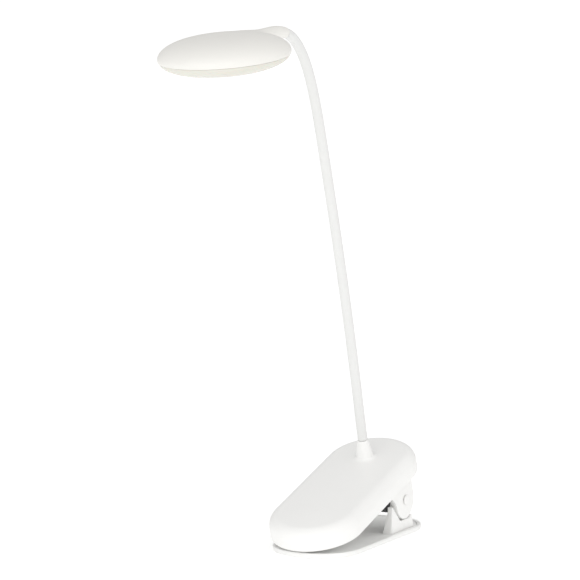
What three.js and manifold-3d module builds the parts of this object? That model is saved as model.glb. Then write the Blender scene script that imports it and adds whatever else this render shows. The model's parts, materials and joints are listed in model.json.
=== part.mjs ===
// Clip-on reading lamp: a spring clip that houses the battery, a flexible neck, and a round LED head.
// Millimetres, +Z up. The origin is the middle of the lower jaw's underside; the jaws open towards -Y.
import * as THREE from 'three';
import { mergeVertices } from 'three/addons/utils/BufferGeometryUtils.js';
import Module from 'manifold-3d';

const wasm = await Module();
wasm.setup();

// ---- driving dimensions ----
const clearance = 0.3;              // between neighbouring pieces

const plateLength = 152.3;          // lower jaw
const plateWidth = 64.8;
const plateCornerRadius = 30;
const plateHeight = 3.6;
const plateFloor = 1.6;
const rimWidth = 3;
const padThickness = 1.2;

const jawOverhang = 2.7;            // upper shell longer than the plate
const jawSideOverhang = 1.4;        // upper shell wider than the plate, each side
const jawTilt = 17.6;               // degrees, front down
const jawNoseForward = 2.4;         // shell nose in front of the plate's front end
const jawNoseHeight = 4.6;
const shellHeight = 16.4;
const shellEdgeRadius = 8.5;
const shellWall = 2.2;
const coverThickness = 2.2;
const upperPadThickness = 2.4;
const upperPadLength = 60;
const upperPadWidth = 43;
const upperPadFromNose = 5.5;

const hingeFromRear = 42.6;         // hinge axis from the shell's rear end, along the shell
const hingeDrop = 14.05;            // hinge axis below the shell's rim
const pinRadius = 2.5;
const pinHeadRadius = 3.6;
const pinHeadThickness = 1;
const pinTail = 0.4;                // pin end beyond its clip
const earRadius = 13.7;
const earThickness = 4;
const earInset = 4.2;               // ear's outer face inside the shell's side
const earFlare = 11.7;              // how far the ear's front edge sweeps forward at the rim
const cradleGap = 0.7;
const bracketInset = 0.8;           // bracket's outer face inside the tray's wall
const bracketThickness = 3.6;
const bracketFront = 19.8;          // from the hinge axis to the bracket's front and rear edges
const bracketRear = 17.2;
const bracketSlopeDegrees = 43.65;  // the cradle's front edge, down towards the rear
const hornWidth = 1.6;              // flat top of the front horn
const ledgeGap = 0.9;               // under the ear
const rearHornHeight = 2;
const rearHornWidth = 1.5;
const gussetHeight = 19;            // wedge that widens each bracket's front edge towards its foot
const gussetDepth = 7;
const gussetReach = 4.4;            // inwards from the bracket's inner face, at the foot
const cheekThickness = 3.6;
const cheekGap = 0.4;               // between a cheek and its ear
const cheekRadius = 8.5;
const cheekFootFront = 13.5;        // from the hinge axis
const cheekFootRear = 14;
const footSink = 0.5;               // how far brackets and cheeks run into the tray's floor
const hair = 0.01;                  // keeps a cutting tool's face off the face beside it

const springWireRadius = 1;
const springFromCheek = 0.9;
const springUpperLegDegrees = 120;  // where on the coil the upper leg leaves it
const springFootReach = 25.8;       // the lower leg's end behind the hinge axis
const springRadius = 9.4;
const springPitch = 2.3;
const springTurns = 4;

const collarFromRear = 39.4;        // neck socket from the shell's rear end, along the shell
const collarHeight = 13.7;
const collarLeanDegrees = 16.5;     // forward of vertical
const collarEase = 25;              // the neck straightens over this length above the collar
const collarMouthRadius = 3.9;
const collarBaseRadius = 6.3;
const collarFlare = 1.6;            // foot's spread into the shell's top

const neckRadius = 3.6;
const coreRadius = 2;
const coreClearance = 0.4;
const coreOverlap = 2.2;            // core's end below its flexing point
const neckLength = 326.3;
const neckLeanBase = 13.4;          // degrees forward of vertical
const neckLeanMiddle = 18.1;
const neckLeanHead = 80.9;
const neckMiddle = 185.6;           // arc length where the bend begins
const neckBendPower = 4.16;
const firstBend = 14;               // arc length of the first flexing point, and the same from the head
const bendCount = 8;
const bendCrowding = 0.35;          // how much closer the flexing points stand near the head

const headRadius = 43.9;
const headTilt = 9.15;              // degrees, front down
const headDomeHeight = 12.7;
const headTopPower = 0.75;          // how full the lid's side is
const diffuserPower = 0.6;
const headWall = 1.6;
const diffuserDepth = 11.2;
const diffuserInset = 0.2;          // step in at the seam
const diffuserWall = 1.5;
const tailLength = 83.9;            // seam to the head's centre, along the tail
const tailBend = 20;
const tailInHead = 12;              // the tail's root runs this far inside the head's edge
const tailRise = 2.3;               // tail axis above the head's rim plane
const tailSeamRadius = 3.9;
const tailRootRadius = 5.6;

const headSeamDrop = 1.7;             // seam between lid and diffuser, below the head's widest level
const headScrewRadius = 26;         // circle that the board's screws stand on
const ledBoardRadius = 35;
const ledBoardThickness = 1.2;
const ledBoardTop = -0.6;           // from the head's widest level
const ledCircleRadius = 23;
const ledCount = 6;
const ledSize = 5;
const ledHeight = 0.9;

const screwShank = 1;
const screwHead = 1.9;
const screwHeadHeight = 1.1;
const coverScrewLength = 7;
const frontScrewAside = 26;         // cover screws: from the middle line, and along the shell
const frontScrewAlong = 46;
const rearScrewAside = 15;
const rearScrewFromEnd = 13;
const headScrewLength = 8;
const coverBossRadius = 3;
const headBossRadius = 2.6;

const cellLength = 48;
const cellWidth = 34;
const cellHeight = 7.2;
const cellAlong = 66;               // its middle, from the shell's nose
const boardThickness = 1.2;
const boardLow = 4.2;
const controlBoardLength = 24;
const controlBoardWidth = 34;
const controlBoardAlong = 26;
const chargingBoardLength = 11;
const chargingBoardWidth = 20;
const chipLength = 6;
const chipWidth = 5;
const chipHeight = 1.6;
const touchWireRadius = 0.35;
const touchCoilRadius = 4;          // at the board
const touchCoilTop = 2.6;           // under the shell
const touchTurns = 4;
const socketLength = 7.3;
const socketWidth = 8.9;
const socketHeight = 3.2;
const socketWall = 0.3;
const ferruleRadius = 3.2;
const ferruleBelowMouth = 6;        // base ferrule's top below the collar's mouth
const nutRadius = 5.6;
const nutHeight = 3;
const headFerruleRadius = 3.1;
const headFerruleLength = 10;
const headFerruleAlong = 8;         // past the seam
const wireHoleRadius = 1.9;

// ---- worked out from them ----
const sleeveBoreRadius = coreRadius + coreClearance;
const shellLength = plateLength + jawOverhang;
const shellWidth = plateWidth + 2 * jawSideOverhang;
const noseY = -plateLength / 2 - jawNoseForward;
const tilt = THREE.MathUtils.degToRad(jawTilt);
const hingeAlong = shellLength - hingeFromRear;
const hingeY = noseY + hingeAlong * Math.cos(tilt) + hingeDrop * Math.sin(tilt);
const hingeZ = jawNoseHeight + hingeAlong * Math.sin(tilt) - hingeDrop * Math.cos(tilt);
const earOuter = shellWidth / 2 - earInset;
const earInner = earOuter - earThickness;
const bracketOuter = plateWidth / 2 - rimWidth - bracketInset;
const cheekOuter = earInner - cheekGap;
const cheekInner = cheekOuter - cheekThickness;
const bracketInner = bracketOuter - bracketThickness;
const footInner = Math.min(cheekInner, bracketInner - gussetReach);
const boreClearRadius = pinRadius + clearance;
const screwBore = screwShank + clearance;
const boardHigh = boardLow + boardThickness;
const ferruleBore = ferruleRadius + clearance;
const collarLean = THREE.MathUtils.degToRad(collarLeanDegrees);
const collarAlong = shellLength - collarFromRear;
const headTiltRadians = THREE.MathUtils.degToRad(headTilt);
const neckEndLean = THREE.MathUtils.degToRad(90 + headTilt);

// ---- finishes ----
const finish = (color, roughness, metalness = 0) =>
  new THREE.MeshStandardMaterial({ color, roughness, metalness });
const whitePlastic = finish(0xf1f0ed, 0.45);
const softPad = finish(0xc9c9c6, 0.85);
const sleeveRubber = finish(0xe9e9e6, 0.6);
const creamDiffuser = finish(0xece8da, 0.5);
const steel = finish(0xa9abad, 0.35, 1);
const springSteel = finish(0x85878a, 0.4, 1);
const brass = finish(0xb99a55, 0.35, 1);
const boardGreen = finish(0x1f5a3a, 0.6);
const boardWhite = finish(0xdedede, 0.6);
const chipBlack = finish(0x1b1b1d, 0.5);
const cellSilver = finish(0x9da3ab, 0.4, 0.6);
const ledYellow = finish(0xe8c84a, 0.5);

// ---- shape helpers ----
function solidOf(geometry) {
  const bare = geometry.clone();
  for (const name of Object.keys(bare.attributes)) {
    if (name !== 'position') bare.deleteAttribute(name);
  }
  const merged = mergeVertices(bare, 1e-4);
  const corners = merged.index.array;
  const kept = [];
  for (let i = 0; i < corners.length; i += 3) {
    const [a, b, c] = corners.subarray(i, i + 3);
    if (a !== b && b !== c && c !== a) kept.push(a, b, c);
  }
  return new wasm.Manifold(new wasm.Mesh({
    numProp: 3,
    vertProperties: new Float32Array(merged.attributes.position.array),
    triVerts: new Uint32Array(kept),
  }));
}

// Slivers thinner than a fraction of a hair are closed up.
function geometryOf(solid) {
  const mesh = solid.simplify(hair / 4).getMesh();
  const geometry = new THREE.BufferGeometry();
  geometry.setAttribute('position', new THREE.BufferAttribute(mesh.vertProperties, 3));
  geometry.setIndex(new THREE.BufferAttribute(mesh.triVerts, 1));
  return geometry;
}

function join(first, ...others) {
  return geometryOf(others.reduce((sum, other) => sum.add(solidOf(other)), solidOf(first)));
}

function cut(first, ...others) {
  return geometryOf(others.reduce((rest, other) => rest.subtract(solidOf(other)), solidOf(first)));
}

function roundEnded(length, width) {
  const radius = width / 2;
  const y = length / 2 - radius;
  const outline = new THREE.Shape();
  outline.absarc(0, y, radius, 0, Math.PI);
  outline.absarc(0, -y, radius, Math.PI, Math.PI * 2);
  return outline;
}

function roundedOutline(length, width, radius) {
  const x = width / 2 - radius;
  const y = length / 2 - radius;
  const outline = new THREE.Shape();
  outline.absarc(x, y, radius, 0, Math.PI / 2);
  outline.absarc(-x, y, radius, Math.PI / 2, Math.PI);
  outline.absarc(-x, -y, radius, Math.PI, Math.PI * 1.5);
  outline.absarc(x, -y, radius, Math.PI * 1.5, Math.PI * 2);
  return outline;
}

// An arc of the outline gets twice curveSegments sides.
function slab(outline, low, high, curveSegments = 5) {
  const depth = high - low;
  const geometry = new THREE.ExtrudeGeometry(outline, { depth, bevelEnabled: false, curveSegments });
  return geometry.translate(0, 0, low);
}

// A rounded-top block whose lower edge runs on below zero, so that it can be trimmed level.
function pebble(length, width, height, edgeRadius, curveSegments, bevelSegments) {
  return new THREE.ExtrudeGeometry(roundEnded(length, width), {
    depth: height,
    bevelThickness: edgeRadius,
    bevelSize: edgeRadius,
    bevelOffset: -edgeRadius,
    bevelSegments,
    curveSegments,
  }).translate(0, 0, -edgeRadius);
}

// A profile drawn in the side view (y, z), extruded across from one x to another.
function sideways(outline, fromX, toX, curveSegments = 8) {
  const turn = new THREE.Matrix4().makeBasis(
    new THREE.Vector3(0, 1, 0),
    new THREE.Vector3(0, 0, 1),
    new THREE.Vector3(1, 0, 0),
  );
  return slab(outline, fromX, toX, curveSegments).applyMatrix4(turn);
}

function outlineOf(points) {
  return new THREE.Shape(points.map(([a, b]) => new THREE.Vector2(a, b)));
}

function box(width, depth, height, x, y, z) {
  return new THREE.BoxGeometry(width, depth, height).translate(x, y, z);
}

function upright(radius, low, high, x = 0, y = 0, sides = 16) {
  return new THREE.CylinderGeometry(radius, radius, high - low, sides)
    .rotateX(Math.PI / 2)
    .translate(x, y, (low + high) / 2);
}

function crosswise(radius, fromX, toX, y, z, sides = 24) {
  return new THREE.CylinderGeometry(radius, radius, toX - fromX, sides)
    .rotateZ(Math.PI / 2)
    .translate((fromX + toX) / 2, y, z);
}

// A profile of [radius, height] pairs turned about +Z.
function turned(profile, sides = 24) {
  const points = profile.map(([radius, height]) => new THREE.Vector2(radius, height));
  const geometry = new THREE.LatheGeometry(points, sides).rotateX(Math.PI / 2);
  return solidOf(geometry).volume() < 0 ? flipped(geometry) : geometry;
}

function flipped(geometry) {
  const index = geometry.index.array;
  for (let i = 0; i < index.length; i += 3) {
    [index[i + 1], index[i + 2]] = [index[i + 2], index[i + 1]];
  }
  return geometry;
}

function ring(outerRadius, innerRadius, low, high, sides = 20) {
  return turned([
    [innerRadius, low], [outerRadius, low], [outerRadius, high], [innerRadius, high], [innerRadius, low],
  ], sides);
}

function tube(curve, radius, steps, sides) {
  const circle = new THREE.Shape();
  circle.absarc(0, 0, radius, 0, Math.PI * 2);
  return new THREE.ExtrudeGeometry(circle, {
    extrudePath: curve,
    steps,
    curveSegments: sides / 2,
    bevelEnabled: false,
  });
}

function piece(name, geometry, material) {
  const mesh = new THREE.Mesh(geometry, material);
  mesh.name = name;
  return mesh;
}

function panHeadScrew(headRadius, headHeight, shankRadius, length) {
  return turned([
    [0, 0], [headRadius, 0], [headRadius, headHeight], [shankRadius, headHeight],
    [shankRadius, length], [0, length],
  ], 12);
}

// ---- lower jaw ----
function bracketProfile() {
  const front = hingeY - bracketFront;
  const rear = hingeY + bracketRear;
  const slope = THREE.MathUtils.degToRad(bracketSlopeDegrees);
  const nearestY = hingeY - (earRadius + cradleGap) * Math.sin(slope);
  const nearestZ = hingeZ - (earRadius + cradleGap) * Math.cos(slope);
  const slopeZ = (y) => nearestZ - (y - nearestY) * Math.tan(slope);
  const ledgeZ = hingeZ - earRadius - ledgeGap;
  const ledgeY = nearestY + (nearestZ - ledgeZ) / Math.tan(slope);
  const hornRear = front + hornWidth;
  const foot = plateFloor - footSink;
  const rearHornRear = rear - 3 * rearHornWidth;
  return outlineOf([
    [front, foot],
    [rear, foot],
    [rearHornRear, ledgeZ + rearHornHeight],
    [rearHornRear - rearHornWidth, ledgeZ + rearHornHeight],
    [rearHornRear - 2 * rearHornWidth, ledgeZ],
    [ledgeY, ledgeZ],
    [hornRear, slopeZ(hornRear)],
    [front, slopeZ(hornRear)],
  ]);
}

function cheekProfile() {
  const outline = new THREE.Shape();
  outline.moveTo(hingeY - cheekFootFront, plateFloor - footSink);
  outline.lineTo(hingeY + cheekFootRear, plateFloor - footSink);
  outline.lineTo(hingeY + cheekRadius, hingeZ);
  outline.absarc(hingeY, hingeZ, cheekRadius, 0, Math.PI);
  outline.closePath();
  return outline;
}

// Drawn from the front, in x and z.
function gusset(side) {
  const outer = bracketOuter - bracketThickness / 4;
  const foot = plateFloor - footSink;
  const outline = outlineOf([
    [side * (bracketInner - gussetReach), foot],
    [side * outer, foot],
    [side * outer, gussetHeight],
    [side * bracketInner, gussetHeight],
  ]);
  const wedge = slab(outline, 0, gussetDepth).rotateX(Math.PI / 2);
  return wedge.translate(0, hingeY - bracketFront + gussetDepth, 0);
}

function lowerJaw() {
  const outer = roundedOutline(plateLength, plateWidth, plateCornerRadius);
  const inner = roundedOutline(
    plateLength - 2 * rimWidth,
    plateWidth - 2 * rimWidth,
    plateCornerRadius - rimWidth,
  );
  const tray = cut(slab(outer, 0, plateHeight), slab(inner, plateFloor, plateHeight + 1));
  const brackets = [-1, 1].flatMap((side) => {
    const span = (a, b) => [Math.min(side * a, side * b), Math.max(side * a, side * b)];
    return [
      sideways(bracketProfile(), ...span(bracketInner, bracketOuter)),
      sideways(cheekProfile(), ...span(cheekInner, cheekOuter)),
      gusset(side),
    ];
  });
  const reach = bracketOuter + 1;
  const bore = crosswise(boreClearRadius, -reach, reach, hingeY, hingeZ);
  const roomRadius = earRadius + cradleGap - clearance / 3;
  const earRooms = [
    crosswise(roomRadius, cheekOuter + hair, reach, hingeY, hingeZ, 32),
    crosswise(roomRadius, -reach, -cheekOuter - hair, hingeY, hingeZ, 32),
  ];
  return piece('lower_jaw', cut(join(tray, ...brackets), bore, ...earRooms), whitePlastic);
}

function lowerJawPad() {
  const inset = rimWidth + clearance;
  const outline = roundedOutline(
    plateLength - 2 * inset,
    plateWidth - 2 * inset,
    plateCornerRadius - inset,
  );
  const low = plateFloor + clearance;
  const notchInner = footInner - clearance;
  const notchOuter = plateWidth / 2;
  const notches = [-1, 1].map((side) => box(
    notchOuter - notchInner,
    bracketFront + bracketRear + 2 * clearance,
    2 * plateHeight,
    side * (notchOuter + notchInner) / 2,
    hingeY + (bracketRear - bracketFront) / 2,
    low,
  ));
  return piece('lower_jaw_pad', cut(slab(outline, low, low + padThickness), ...notches), softPad);
}

// ---- hinge and springs ----
function hingePin() {
  const end = earOuter + clearance;
  const shank = crosswise(pinRadius, -end - pinHeadThickness - pinTail, end + clearance, hingeY, hingeZ);
  const head = crosswise(pinHeadRadius, end, end + pinHeadThickness, hingeY, hingeZ);
  return piece('hinge_pin', join(shank, head), whitePlastic);
}

function pinClip() {
  const end = earOuter + clearance;
  const washer = ring(pinHeadRadius, boreClearRadius, 0, pinHeadThickness, 24)
    .rotateY(Math.PI / 2)
    .translate(-end - pinHeadThickness, hingeY, hingeZ);
  return piece('pin_clip', washer, springSteel);
}

// One wire: upper leg, coil about the hinge pin, lower leg. Its length along the path sets the point.
class TorsionSpringPath extends THREE.Curve {
  constructor(side) {
    super();
    this.side = side;
    this.startAngle = THREE.MathUtils.degToRad(springUpperLegDegrees);
    const footDrop = hingeZ - plateFloor - clearance - padThickness - springWireRadius - clearance;
    const footDistance = Math.hypot(springFootReach, footDrop);
    this.lowerLeg = Math.sqrt(footDistance ** 2 - springRadius ** 2);
    const footAngle = -Math.atan2(footDrop, springFootReach) - Math.acos(springRadius / footDistance);
    this.endAngle = footAngle + 2 * Math.PI * (springTurns + 1);
    this.innerX = cheekInner - clearance - springWireRadius - springFromCheek
      - springPitch * (this.endAngle - this.startAngle) / (2 * Math.PI);
    this.coilLength = (this.endAngle - this.startAngle) * springRadius;
    const [topY, topZ] = this.rim(this.startAngle);
    const underside = (y) => jawNoseHeight + (y - noseY) * Math.tan(tilt);
    const wireRoom = springWireRadius + clearance;
    const upSlope = Math.tan(this.startAngle - Math.PI / 2);
    const reach = (underside(topY) - wireRoom / Math.cos(tilt) - topZ) / (upSlope - Math.tan(tilt));
    this.upperLeg = reach * 0.98 / Math.cos(this.startAngle - Math.PI / 2);
    this.total = this.upperLeg + this.coilLength + this.lowerLeg;
  }

  rim(angle) {
    return [hingeY + springRadius * Math.cos(angle), hingeZ + springRadius * Math.sin(angle)];
  }

  getPoint(t, target = new THREE.Vector3()) {
    const along = t * this.total - this.upperLeg;
    const angle = THREE.MathUtils.clamp(
      this.startAngle + along / springRadius,
      this.startAngle,
      this.endAngle,
    );
    const turnedBy = angle - this.startAngle;
    const [y, z] = this.rim(angle);
    const straight = Math.min(along, 0) + Math.max(along - this.coilLength, 0);
    const x = this.innerX + springPitch * turnedBy / (2 * Math.PI);
    return target.set(this.side * x, y - straight * Math.sin(angle), z + straight * Math.cos(angle));
  }
}

function torsionSpring(name, side) {
  return piece(name, tube(new TorsionSpringPath(side), springWireRadius, 64, 6), springSteel);
}

// ---- upper jaw, drawn level with its rim at zero and its nose at y = 0 ----
const screwPlaces = [
  [frontScrewAside, frontScrewAlong], [-frontScrewAside, frontScrewAlong],
  [rearScrewAside, shellLength - rearScrewFromEnd], [-rearScrewAside, shellLength - rearScrewFromEnd],
];

function collarFrame(geometry) {
  return geometry.rotateX(collarLean - tilt).translate(0, collarAlong, shellHeight);
}

function upperShell() {
  const middle = shellLength / 2;
  const skin = pebble(shellLength, shellWidth, shellHeight, shellEdgeRadius, 7, 3);
  const hollow = pebble(
    shellLength - 2 * shellWall,
    shellWidth - 2 * shellWall,
    shellHeight - shellWall,
    shellEdgeRadius - shellWall,
    6,
    2,
  );
  const below = box(shellWidth + 10, shellLength + 10, 40, 0, 0, -20);
  const body = cut(skin, hollow, below).translate(0, middle, 0);
  const collar = collarFrame(turned([
    [0, -shellWall * 0.8], [collarBaseRadius + collarFlare, -shellWall * 0.8],
    [collarBaseRadius + collarFlare * 0.75, 0.2], [collarBaseRadius, collarFlare * 0.8],
    [collarMouthRadius + 0.5, collarHeight * 0.75],
    [collarMouthRadius, collarHeight], [0, collarHeight],
  ]));
  const bosses = screwPlaces.map(([x, y]) =>
    upright(coverBossRadius, coverThickness + clearance, shellHeight - shellWall * 0.6, x, y));
  const pilots = screwPlaces.map(([x, y]) =>
    upright(screwBore, 0, coverScrewLength + screwBore, x, y, 12));
  const neckHole = collarFrame(upright(sleeveBoreRadius, -shellHeight, collarHeight + 1, 0, 0, 16));
  const ferruleRoom = collarFrame(upright(ferruleBore, -shellHeight, collarHeight - ferruleBelowMouth));
  const socketMouth = box(
    socketWidth + 0.8,
    2 * socketLength,
    socketHeight + 0.8,
    0,
    shellLength,
    boardHigh + clearance + socketHeight / 2,
  );
  return piece(
    'upper_shell',
    cut(join(body, collar, ...bosses), ...pilots, neckHole, ferruleRoom, socketMouth),
    whitePlastic,
  );
}

function earProfile() {
  const outline = new THREE.Shape();
  const y = hingeAlong;
  const z = -hingeDrop;
  outline.moveTo(y + earRadius, 0.5);
  outline.lineTo(y - earRadius - earFlare, 0.5);
  outline.quadraticCurveTo(y - earRadius - 1.5, z * 0.45, y - earRadius, z);
  outline.absarc(y, z, earRadius, Math.PI, Math.PI * 2);
  outline.closePath();
  return outline;
}

function jawCover() {
  const inset = shellWall + clearance;
  const outline = roundEnded(shellLength - 2 * inset, shellWidth - 2 * inset);
  const plate = slab(outline, 0, coverThickness, 6).translate(0, shellLength / 2, 0);
  const ears = [
    sideways(earProfile(), earInner, earOuter),
    sideways(earProfile(), -earOuter, -earInner),
  ];
  const pinBore = crosswise(boreClearRadius, -earOuter - 1, earOuter + 1, hingeAlong, -hingeDrop);
  const sinks = screwPlaces.flatMap(([x, y]) => [
    upright(screwBore, -1, coverThickness + 1, x, y, 12),
    upright(screwHead + clearance, -1, screwHeadHeight + 0.2, x, y, 16),
  ]);
  return piece('jaw_cover', cut(join(plate, ...ears), pinBore, ...sinks), whitePlastic);
}

function upperJawPad() {
  const outline = roundedOutline(upperPadLength, upperPadWidth, upperPadWidth / 2 - 1);
  const pad = slab(outline, -clearance - upperPadThickness, -clearance);
  pad.translate(0, upperPadFromNose + upperPadLength / 2, 0);
  return piece('upper_jaw_pad', pad, softPad);
}

function coverScrew(name, [x, y]) {
  const screw = panHeadScrew(screwHead, screwHeadHeight - 0.2, screwShank, coverScrewLength);
  return piece(name, screw.translate(x, y, 0.1), steel);
}

function batteryCell() {
  const low = coverThickness + 2 * clearance;
  const cell = slab(roundedOutline(cellLength, cellWidth, 2), low, low + cellHeight, 2);
  return piece('battery_cell', cell.translate(0, cellAlong, 0), cellSilver);
}

function flatBoard(name, width, length, along) {
  return piece(name, box(width, length, boardThickness, 0, along, (boardLow + boardHigh) / 2), boardGreen);
}

function controlBoard() {
  return flatBoard('control_board', controlBoardWidth, controlBoardLength, controlBoardAlong);
}

function driverChip() {
  const aside = (chipLength - controlBoardWidth) / 2 + 4;
  const middle = boardHigh + clearance + chipHeight / 2;
  const chip = box(chipLength, chipWidth, chipHeight, aside, controlBoardAlong + 2, middle);
  return piece('driver_chip', chip, chipBlack);
}

// A conical contact spring that carries the touch signal from the board to the shell's top.
class TouchSpringPath extends THREE.Curve {
  getPoint(t, target = new THREE.Vector3()) {
    const radius = touchCoilRadius + (touchCoilTop - touchCoilRadius) * t;
    const room = clearance + touchWireRadius;
    const low = boardHigh + room;
    const high = shellHeight - shellWall - room;
    const angle = t * touchTurns * Math.PI * 2;
    return target.set(
      radius * Math.cos(angle),
      controlBoardAlong - touchCoilRadius + radius * Math.sin(angle),
      low + (high - low) * t,
    );
  }
}

function touchSpring() {
  return piece('touch_spring', tube(new TouchSpringPath(), touchWireRadius, 44, 4), brass);
}

function chargingBoard() {
  const along = shellLength - chargingBoardLength;
  return flatBoard('charging_board', chargingBoardWidth, chargingBoardLength, along);
}

function chargingSocket() {
  const middle = boardHigh + clearance + socketHeight / 2;
  const rear = shellLength - clearance;
  const can = box(socketWidth, socketLength, socketHeight, 0, rear - socketLength / 2, middle);
  const mouth = box(
    socketWidth - 2 * socketWall,
    socketLength,
    socketHeight - 2 * socketWall,
    0,
    rear - socketLength / 2 + 2 * socketWall,
    middle,
  );
  return piece('charging_socket', cut(can, mouth), steel);
}

function baseFerrule() {
  const top = collarHeight - ferruleBelowMouth - clearance;
  const ferrule = ring(ferruleRadius, sleeveBoreRadius, -shellHeight * 0.6, top, 16);
  return piece('base_ferrule', collarFrame(ferrule), steel);
}

function baseNut() {
  const top = -shellWall - clearance - nutRadius * Math.sin(tilt - collarLean);
  const low = top - nutHeight;
  const nut = cut(upright(nutRadius, low, top, 0, 0, 6), upright(ferruleBore, low - 1, top + 1));
  return piece('base_nut', collarFrame(nut), brass);
}

function upperJawBodyPieces() {
  const jaw = new THREE.Group();
  jaw.position.set(0, noseY, jawNoseHeight);
  jaw.rotation.x = tilt;
  jaw.add(
    upperShell(),
    jawCover(),
    upperJawPad(),
    ...screwPlaces.map((place, i) => coverScrew(`cover_screw_${i + 1}`, place)),
    batteryCell(),
    controlBoard(),
    driverChip(),
    touchSpring(),
    chargingBoard(),
    chargingSocket(),
    baseFerrule(),
    baseNut(),
  );
  return jaw;
}

// ---- neck ----
// The lean eases from the collar's to the middle's, then sharpens towards the head; past the seam the
// line runs on through the head's tail, and before zero straight down into the collar.
function leanAt(along) {
  if (along > neckLength) {
    const end = THREE.MathUtils.degToRad(neckLeanHead);
    return end + (neckEndLean - end) * Math.min((along - neckLength) / tailBend, 1);
  }
  const straightening = Math.pow(1 - THREE.MathUtils.clamp(along / collarEase, 0, 1), 2);
  const early = THREE.MathUtils.clamp(along / neckMiddle, 0, 1);
  const late = Math.max(0, (along - neckMiddle) / (neckLength - neckMiddle));
  return THREE.MathUtils.degToRad(
    neckLeanBase
    + (collarLeanDegrees - neckLeanBase) * straightening
    + (neckLeanMiddle - neckLeanBase) * early
    + (neckLeanHead - neckLeanMiddle) * Math.pow(late, neckBendPower),
  );
}

const pathStep = 0.5;
const pathStart = -40;
const neckMouthY = noseY + collarAlong * Math.cos(tilt) - shellHeight * Math.sin(tilt)
  - collarHeight * Math.sin(collarLean);
const neckMouthZ = jawNoseHeight + collarAlong * Math.sin(tilt) + shellHeight * Math.cos(tilt)
  + collarHeight * Math.cos(collarLean);

function tracePath() {
  const points = [];
  let y = neckMouthY - pathStart * Math.sin(collarLean);
  let z = neckMouthZ + pathStart * Math.cos(collarLean);
  for (let along = pathStart; along <= neckLength + tailLength + 1; along += pathStep) {
    points.push([y, z]);
    const lean = leanAt(along + pathStep / 2);
    y -= Math.sin(lean) * pathStep;
    z += Math.cos(lean) * pathStep;
  }
  return points;
}

const path = tracePath();

function pathPoint(along) {
  const place = (along - pathStart) / pathStep;
  const i = Math.floor(place);
  const f = place - i;
  const [y0, z0] = path[i];
  const [y1, z1] = path[i + 1];
  return new THREE.Vector3(0, y0 + (y1 - y0) * f, z0 + (z1 - z0) * f);
}

class NeckPath extends THREE.Curve {
  constructor(from, to) {
    super();
    this.from = from;
    this.to = to;
  }

  getPoint(t, target = new THREE.Vector3()) {
    return target.copy(pathPoint(this.from + (this.to - this.from) * t));
  }
}

const bends = Array.from({ length: bendCount }, (_, i) => {
  const t = i / (bendCount - 1);
  const share = t * (1 + bendCrowding * (1 - t));
  return firstBend + (neckLength - 2 * firstBend) * share;
});

function neckSteps(from, to) {
  const turn = Math.abs(leanAt(to) - leanAt(from));
  return Math.max(1, Math.ceil(turn / 0.13));
}

// Each stretch of sleeve starts with a dome on its lower flexing point and ends in a cup round the next.
function neckSleeve(index) {
  const from = index === 0 ? clearance : bends[index - 1];
  const to = index === bendCount ? neckLength - clearance : bends[index];
  const steps = neckSteps(from, to);
  let stretch = tube(new NeckPath(from, to), neckRadius, steps, 14);
  if (index > 0) {
    const at = pathPoint(from);
    const dome = new THREE.SphereGeometry(neckRadius - 2 * hair, 14, 8).rotateX(Math.PI / 2 + leanAt(from));
    stretch = join(stretch, dome.translate(at.x, at.y, at.z));
  }
  const cuts = [tube(new NeckPath(from - neckRadius - 1, to + 1), sleeveBoreRadius, steps + 1, 10)];
  if (index < bendCount) {
    const at = pathPoint(to);
    const cup = new THREE.SphereGeometry(neckRadius + clearance, 14, 10).rotateX(Math.PI / 2 + leanAt(to));
    cuts.push(cup.translate(at.x, at.y, at.z));
  }
  return piece(`neck_sleeve_${index + 1}`, cut(stretch, ...cuts), sleeveRubber);
}

function neckCore(index) {
  const from = index === 0 ? -collarHeight - shellHeight * 0.55 : bends[index - 1] - coreOverlap;
  const to = index === bendCount
    ? ferruleTo - 2
    : bends[index] - neckRadius - clearance - coreOverlap / 10;
  const rod = tube(new NeckPath(from, to), coreRadius, neckSteps(from, to) + 1, 8);
  return piece(`neck_core_${index + 1}`, rod, steel);
}

// ---- head ----
const headPlace = pathPoint(neckLength + tailLength);
const headTopProfile = (radius, height, steps) => Array.from({ length: steps + 1 }, (_, i) => {
  const turn = (i / steps) * Math.PI / 2;
  return [radius * Math.pow(Math.cos(turn), headTopPower), height * Math.sin(turn)];
});
const diffuserProfile = (radius, depth, steps) => Array.from({ length: steps + 1 }, (_, i) => {
  const turn = (i / steps) * Math.PI / 2;
  return [radius * Math.pow(Math.cos(turn), diffuserPower), -depth * Math.sin(turn)];
});

function headFrame(geometry) {
  return geometry
    .translate(0, 0, -tailRise)
    .rotateX(headTiltRadians)
    .translate(0, headPlace.y, headPlace.z);
}

// A tapering round bar bent along the tail's line, from inside the dome to the seam with the neck.
function tailBar() {
  const from = neckLength;
  const to = neckLength + tailLength - headRadius + tailInHead;
  const bar = new THREE.CylinderGeometry(1, 1, 1, 14, 6).rotateX(Math.PI / 2);
  const position = bar.attributes.position;
  for (let i = 0; i < position.count; i += 1) {
    const share = position.getZ(i) + 0.5;
    const along = from + (to - from) * share;
    const lean = leanAt(along);
    const middle = pathPoint(along);
    const ease = share * share * (3 - 2 * share);
    const radius = tailSeamRadius + (tailRootRadius - tailSeamRadius) * ease;
    const across = position.getY(i) * radius;
    position.setXYZ(
      i,
      position.getX(i) * radius,
      middle.y + across * Math.cos(lean),
      middle.z + across * Math.sin(lean),
    );
  }
  return solidOf(bar).volume() < 0 ? flipped(bar) : bar;
}

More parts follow.
